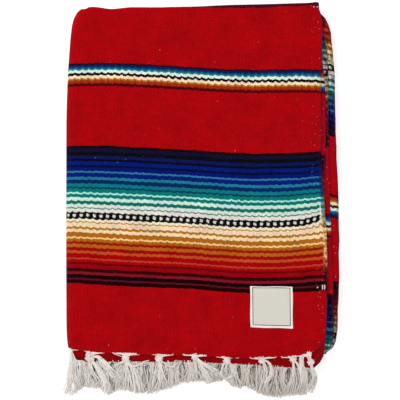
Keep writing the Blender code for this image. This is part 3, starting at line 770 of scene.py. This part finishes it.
def yarnTubes(name, lines, radii, tints, sides, start):
    # Round yarns along many lines at once: lines is (yarns, points, 3)
    count, steps = lines.shape[:2]
    tangent = unit(np.gradient(lines, axis=1))
    across = unit(np.cross(tangent[:, 0], (0.1, 0.2, 1.0)))
    frames = []
    for k in range(steps):
        across = unit(across - tangent[:, k] * (across * tangent[:, k]).sum(-1, keepdims=True))
        frames.append(across)
    across = np.stack(frames, 1)
    up = np.cross(tangent, across)
    angle = np.arange(sides) * 2 * math.pi / sides
    cosine, sine = np.cos(angle), np.sin(angle)
    ring = across[:, :, None] * cosine[None, None, :, None] + up[:, :, None] * sine[None, None, :, None]
    points = lines[:, :, None] + ring * radii[:, :, None, None]
    travelled = alongCloth(lines, 1) + start
    rounds = np.stack(np.broadcast_arrays(travelled[:, :, None], cosine[None, None], sine[None, None]), -1)
    index = np.arange(count * steps * sides).reshape(count, steps, sides)
    a, b = index[:, :-1], index[:, 1:]
    faces = np.stack([a, np.roll(a, -1, 2), np.roll(b, -1, 2), b], -1).reshape(-1, 4)
    half = sides // 2
    caps = []
    for k in range(half - 1):  # ends closed by a strip of quads
        caps.append(index[:, 0][:, [k + 1, k, sides - 1 - k, sides - 2 - k]])
        caps.append(index[:, -1][:, [k, k + 1, sides - 2 - k, sides - 1 - k]])
    faces = np.concatenate([faces, *caps])
    tint = np.broadcast_to(tints[:, None, None], index.shape)
    flat = points.reshape(-1, 3)
    attributes = {"round": rounds.reshape(-1, 3), "tint": tint.reshape(-1)}
    return meshFrom(name, flat, facingOut(flat, faces), attributes, fringeFinish)


def smoothPath(points, steps):  # lines through a few points each: (yarns, points, 3) to (yarns, steps, 3)
    count = points.shape[1]
    at = np.linspace(0, count - 1, steps)
    i = np.clip(at.astype(int), 0, count - 2)
    t = (at - i)[None, :, None]
    p = [points[:, np.clip(i + k, 0, count - 1)] for k in (-1, 0, 1, 2)]
    return 0.5 * (2 * p[1] + (p[2] - p[0]) * t + (2 * p[0] - 5 * p[1] + 4 * p[2] - p[3]) * t ** 2
                  + (3 * p[1] - p[0] - 3 * p[2] + p[3]) * t ** 3)


def endLevel(end, level, x):  # height of a layer's middle at its end, down round the left fold
    if end != "first" or level < stack["innerHeight"]:
        return level + 0 * x
    radius = stack["leftFold"]
    out = np.clip(side("left", stack["frontEnd"]) + radius - x, 0, 0.75 * radius)
    return radius + np.sqrt((radius - stack["cloth"] / 2) ** 2 - out ** 2)


def dropped(row, flat, pile):  # lifts flat lines to their height: level on the cloth, then down to the tips
    end, level, tipLevel = row[2], row[4], row[5]
    x, y = flat[..., 0], flat[..., 1]
    lip = endOf("second", x)
    fall = np.clip((lip - y) / (lip - endOf("tips", x)), 0, 1)
    base = endLevel(end, level, x) * heightShare(x, np.maximum(y, lip))
    z = between(base, tipLevel, ease((fall - 0.05) / 0.95)) + pile
    return np.concatenate([flat, np.maximum(z, fringe["radius"] + 0.15)[..., None]], -1)


def wavy(flat, loose, draw):  # the small waves that yarns keep from the weave, where they hang loose
    count = len(flat)
    for axis, size in ((0, 1.0), (1, 0.5)):
        size = size * draw.uniform(0.2, 1.2, (count, 1)) ** 1.5 * fringe["wave"]
        turns, start = draw.uniform(12, 32, (count, 1)), draw.uniform(0, 6.3, (count, 1))
        flat[..., axis] += loose * size * np.sin(onWay * turns + start)
    return flat


def lockLines(row, tassel, lock, draw):
    end, inset = row[2:4]
    knotX, knotY, size = tassel[:3]
    yarns, width, *way = lock
    spread = draw.permutation(np.linspace(-1, 1, yarns)) + draw.normal(0, 0.1, yarns)
    reach = fringe["gather"] * min(1, size)
    rootX = knotX + reach * np.sign(spread) * draw.uniform(0, 1, yarns) ** fringe["crowd"]
    rootX = np.clip(rootX, side("left", -238.0) + 4, side("edge1", -240.0) - 1)
    edge = endOf(end, rootX) + inset
    inside = draw.normal(0, 1.4 * size, (yarns, 2))
    lines = [np.stack([rootX, edge + 1.2], -1)]
    fan = draw.uniform(0, 1, yarns) ** 2.0 * fringe["sag"]
    for share in fringe["bends"]:
        drop = (0.3 + fan * share * (edge - knotY)) * draw.uniform(0.8, 1.2, yarns)
        lines.append(np.stack([between(rootX, knotX, share), edge - drop], -1))
    lines.append(np.stack([knotX + inside[:, 0], knotY + 0.6 * inside[:, 1]], -1))
    places = np.array([(knotX, knotY), *way], float)
    heading = unit(np.gradient(places, axis=0))
    for k in range(1, len(places)):
        opened = between(0.3, 1.0, ease((k - 1) / max(len(places) - 2, 1)))
        lateral = np.array([-heading[k, 1], heading[k, 0]])
        lines.append(places[k] + (spread * width * opened)[:, None] * lateral)
    lines[-1][:, 1] += draw.uniform(-1.5, 3.0, yarns)
    flat = smoothPath(np.stack(lines, 1), fringe["steps"])
    knotAt = 3 / (len(lines) - 1)
    past = (onWay - knotAt) / (1 - knotAt)
    flat = wavy(flat, ease(past * 1.6)[None], draw)
    pile = draw.uniform(-1.1, 1.3, (yarns, 1)) + 0.5 * ease(np.linspace(0, 4, fringe["steps"]))[None]
    return dropped(row, flat, pile)


def knotLines(row, tassel, draw):  # the turns of a knot, wound at odd angles round the tassel's yarns
    knotX, knotY, size = tassel[:3]
    end, level = row[2], row[4]
    turns = fringe["turns"]
    t = np.linspace(-0.1, 1.2, fringe["steps"])[None] * 2 * math.pi
    shift = draw.permutation(np.linspace(-0.8, 0.8, turns))[:, None]
    wide = size * fringe["knotWide"] * np.sqrt(1 - 0.75 * shift ** 2) * draw.uniform(0.8, 1.1, (turns, 1))
    x = wide * np.cos(t)
    y = size * fringe["knotLong"] * shift + 1.2 * (t / math.pi - 1)
    turn = draw.normal(0, 0.8, (turns, 1))
    base = float(endLevel(end, level, np.array(knotX, float)) * heightShare(knotX, knotY))
    z = base + 0.6 + 0.62 * wide * np.sin(t)
    return np.stack([knotX + x * np.cos(turn) - y * np.sin(turn), knotY + x * np.sin(turn) + y * np.cos(turn),
                     np.maximum(z, 0.8)], -1)


def curtainLines(row, draw):
    end, inset, yarns, seed = row[2], row[3], row[6], row[7]
    rootX = np.linspace(*fringe["curtain"], yarns) + draw.normal(0, 0.8, yarns)
    still = 0 * rootX
    edge = endOf(end, rootX) + inset
    lockPitch, drawn = fringe["locks"]
    drawn = drawn if row[8] else 0.12
    lock = np.floor((rootX + 3 * ripple(rootX, still, 60, seed + 40)) / lockPitch)
    lockX = (lock + 0.5) * lockPitch
    gathered = between(rootX, lockX, drawn) + 2.0 * ripple(rootX, still, 26, seed + 50)
    tipX = between(rootX, lockX, 0.7 * drawn) + 6.0 * ripple(lockX, still, 45, seed + 60)
    stray = 0
    for chance, width in fringe["strays"]:
        stray = stray + (draw.uniform(0, 1, yarns) < chance) * draw.normal(0, width, yarns)
    gathered = gathered + 0.3 * stray
    tipX = np.clip(tipX + draw.normal(0, 1.0, yarns) + stray, *fringe["tipLimits"])
    tipY = endOf("tips", tipX) + inset * 0.6 + draw.uniform(-0.6, 3.2, yarns)
    lines = [(rootX, edge + 1.5), (rootX, edge - 0.8), (between(rootX, gathered, 0.6), edge - 5.0),
             (gathered, between(edge, tipY, 0.45)), (tipX, tipY)]
    flat = smoothPath(np.array(lines).transpose(2, 0, 1), fringe["steps"])
    loose = 0.8 if row[8] else 0.45
    flat = wavy(flat, loose * ease(np.linspace(-0.4, 1.4, fringe["steps"]))[None], draw)
    return dropped(row, flat, draw.uniform(-1.2, 1.2, (yarns, 1)))


def fringeRow(row):
    name, node, *_, yarns, seed, tassels = row
    draw = np.random.default_rng(40 + seed)
    lines = [curtainLines(row, draw)] if yarns else []
    for tassel in fringe[tassels] if tassels else ():
        lines += [lockLines(row, tassel, lock, draw) for lock in tassel[3]]
        lines.append(knotLines(row, tassel, draw))
    lines = np.concatenate(lines)
    count = len(lines)
    taper = between(1.0, 0.72, ease((onWay - 0.85) / 0.15))[None]
    thick = fringe["radius"] if tassels else fringe["matRadius"]
    radii = thick * draw.uniform(0.8, 1.18, (count, 1)) * taper
    # Tints: random per yarn and paler towards the left. Painted shade darkens the rows without tassels, which
    # lie beneath, and painted light makes the top row, which has no curtain, paler
    tints = 0.5 * draw.uniform(0, 1, count) + 0.5 * np.clip((180 - lines[:, 0, 0]) / 380, 0, 1)
    tints = tints if tassels else 0.7 * tints
    tints = between(0.0 if yarns else 0.35, 1.0, tints)
    # Rows with a curtain start 40 mm along, so they get no painted pink reflection at the roots
    piece = yarnTubes(name, lines, radii, tints, fringe["sides"], 40 if yarns else 0)
    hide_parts(node)
    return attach(piece, "root")


print("fringe")
fringes = [fringeRow(row) for row in fringe["rows"]]

# The label: blank woven cloth with a plain border line, sewn on near the selvedge
label = {
    "middle": (109.9, -164.7),
    "width": 65.0,
    "length": 63.4,
    "askew": (-0.011, -0.018, 0.00033),  # it's sewn on a little out of square
    "thick": 0.8,
    "cells": 46,
    "border": 3.8,
    "topBorder": 1.9,
    "line": 1.15,
    "weave": 8.5,
    "bow": ((0.35, 9.0), (0.25, 7.0)),  # waves of its edges: size and length
    "rim": (31, 30),  # how far out they start
}


def labelCloth():
    cloth = Shading("labelCloth", Sheen_Weight=0.15, Specular_IOR_Level=0.3)
    along, across = cloth.split("thread")[:2]
    inX = label["width"] / 2 - abs(across)
    half, border = label["length"] / 2, label["border"]
    inY = cloth.sum("MINIMUM", half + along, half + border - label["topBorder"] - along)
    inside = cloth.sum("MINIMUM", inX, inY)
    here = cloth.place(along, across)
    inside = inside + (cloth.noise(here, 0.5, 2.0) - 0.5) * 0.5
    weave = cloth.sum("SINE", along * label["weave"]) * cloth.sum("SINE", across * label["weave"])
    speckle = cloth.noise(here, 1.6, 2.0, 0.7)
    grain = cloth.range(speckle, 0.3, 0.7)
    cream = cloth.mix(grain, yarn("c9c5b9"), yarn("dedad0"))
    edge = cloth.mix(grain, yarn("ecdcd6"), yarn("f8eeea"))
    colour = cloth.mix(inside < border, cream, edge)
    colour = cloth.mix(cloth.near(inside, border, label["line"] / 2), colour, yarn("1a1d18"))
    colour = cloth.mix(cloth.fade(weave, -1.0, 0.0, 0.12), colour, yarn("8d897e"))
    return cloth.finish(colour, cloth.range(speckle, 0.3, 0.7, 0.7, 0.9), weave * 0.5 + speckle, 0.0003, 0.6)


def labelPiece():
    across, along = np.meshgrid(*[np.linspace(-0.5, 0.5, label["cells"])] * 2)
    across, along = across * label["width"], along * label["length"]
    leanX, leanY, spread = label["askew"]
    bow = sum(size * np.sin(way / length) for way, (size, length) in zip((along, across), label["bow"]))
    rimX, rimY = label["rim"]
    x = label["middle"][0] + across + leanX * along + bow * (np.abs(across) > rimX)
    y = label["middle"][1] + along + (leanY + spread * along) * across + bow * (np.abs(along) > rimY)
    rise = stack["gap"] + label["thick"] / 2 + 0.12 * (1 + ripple(x, y, 22, 31))
    z = settle(x, y, stack["height"] + 0 * x) + rise
    mid = np.stack([x, y, z], -1)
    thread = np.stack([along, across, 0 * x], -1)
    piece = clothShell("wovenLabel", mid, label["thick"], thread, labelCloth(), 2)
    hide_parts("label")
    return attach(piece, "root")


print("label")
labelSheet = labelPiece()

# Studio: a pale floor, soft light from all round, more from the upper left, a long lens above
studio = {
    "view": 614.8,
    "lens": 300.0,
    "sensor": 36.0,
    "topPlane": 35.0,
    "clip": 100.0,
    "floor": 12.0,
    "floorLevel": -0.4,
    "floorColours": ((0.93, 0.93, 0.93, 1), (0.95, 0.95, 0.95, 1)),
    "floorGlow": 0.4,
    "worldLight": 0.68,
    # Place, size and power
    "keyLight": ((-1.3, 1.2, 2.4), 1.6, 40.0),
    "fillLight": ((1.6, -1.4, 2.2), 2.2, 18.0),
}


def floorFinish():
    floor = Shading("floorFinish", Specular_IOR_Level=0.1)
    here = floor.node("TexCoord", {}, {}, 3)
    grain = floor.noise(here, 9.0, 2.0)
    colour = floor.mix(grain, *studio["floorColours"])
    floor.feed(floor.surface.inputs["Emission Color"], (1, 1, 1, 1))
    floor.feed(floor.surface.inputs["Emission Strength"], studio["floorGlow"])
    return floor.finish(colour, 0.9)


def areaLight(name, place, size, power):
    light = bpy.data.lights.new(name, "AREA")
    light.shape, light.size, light.energy = "DISK", size, power
    lamp = bpy.data.objects.new(name, light)
    lamp.location = place
    lamp.rotation_mode = "QUATERNION"
    lamp.rotation_quaternion = (-Vector(place)).to_track_quat("-Z", "Y")
    scene.collection.objects.link(lamp)


def studioScene():
    half = studio["floor"] / 2
    corners = np.array([(-half, -half, 0), (half, -half, 0), (half, half, 0), (-half, half, 0)]) / mm
    corners[:, 2] = studio["floorLevel"]
    floor = meshFrom("floor", corners, np.array([(0, 1, 2, 3)]), None, floorFinish())
    areaLight("keyLight", *studio["keyLight"])
    areaLight("fillLight", *studio["fillLight"])
    world = bpy.data.worlds.new("studioWorld")
    world.use_nodes = True
    background = world.node_tree.nodes["Background"]
    background.inputs["Color"].default_value = (1, 1, 1, 1)
    background.inputs["Strength"].default_value = studio["worldLight"]
    scene.world = world
    camera = bpy.data.cameras.new("camera")
    camera.lens, camera.sensor_width = studio["lens"], studio["sensor"]
    above = studio["view"] * studio["lens"] / studio["sensor"] + studio["topPlane"]
    camera.clip_end = studio["clip"]
    eye = bpy.data.objects.new("camera", camera)
    eye.location = (0, 0, above * mm)
    scene.collection.objects.link(eye)
    scene.camera = eye
    scene.view_settings.view_transform = "Standard"


print("studio")
studioScene()
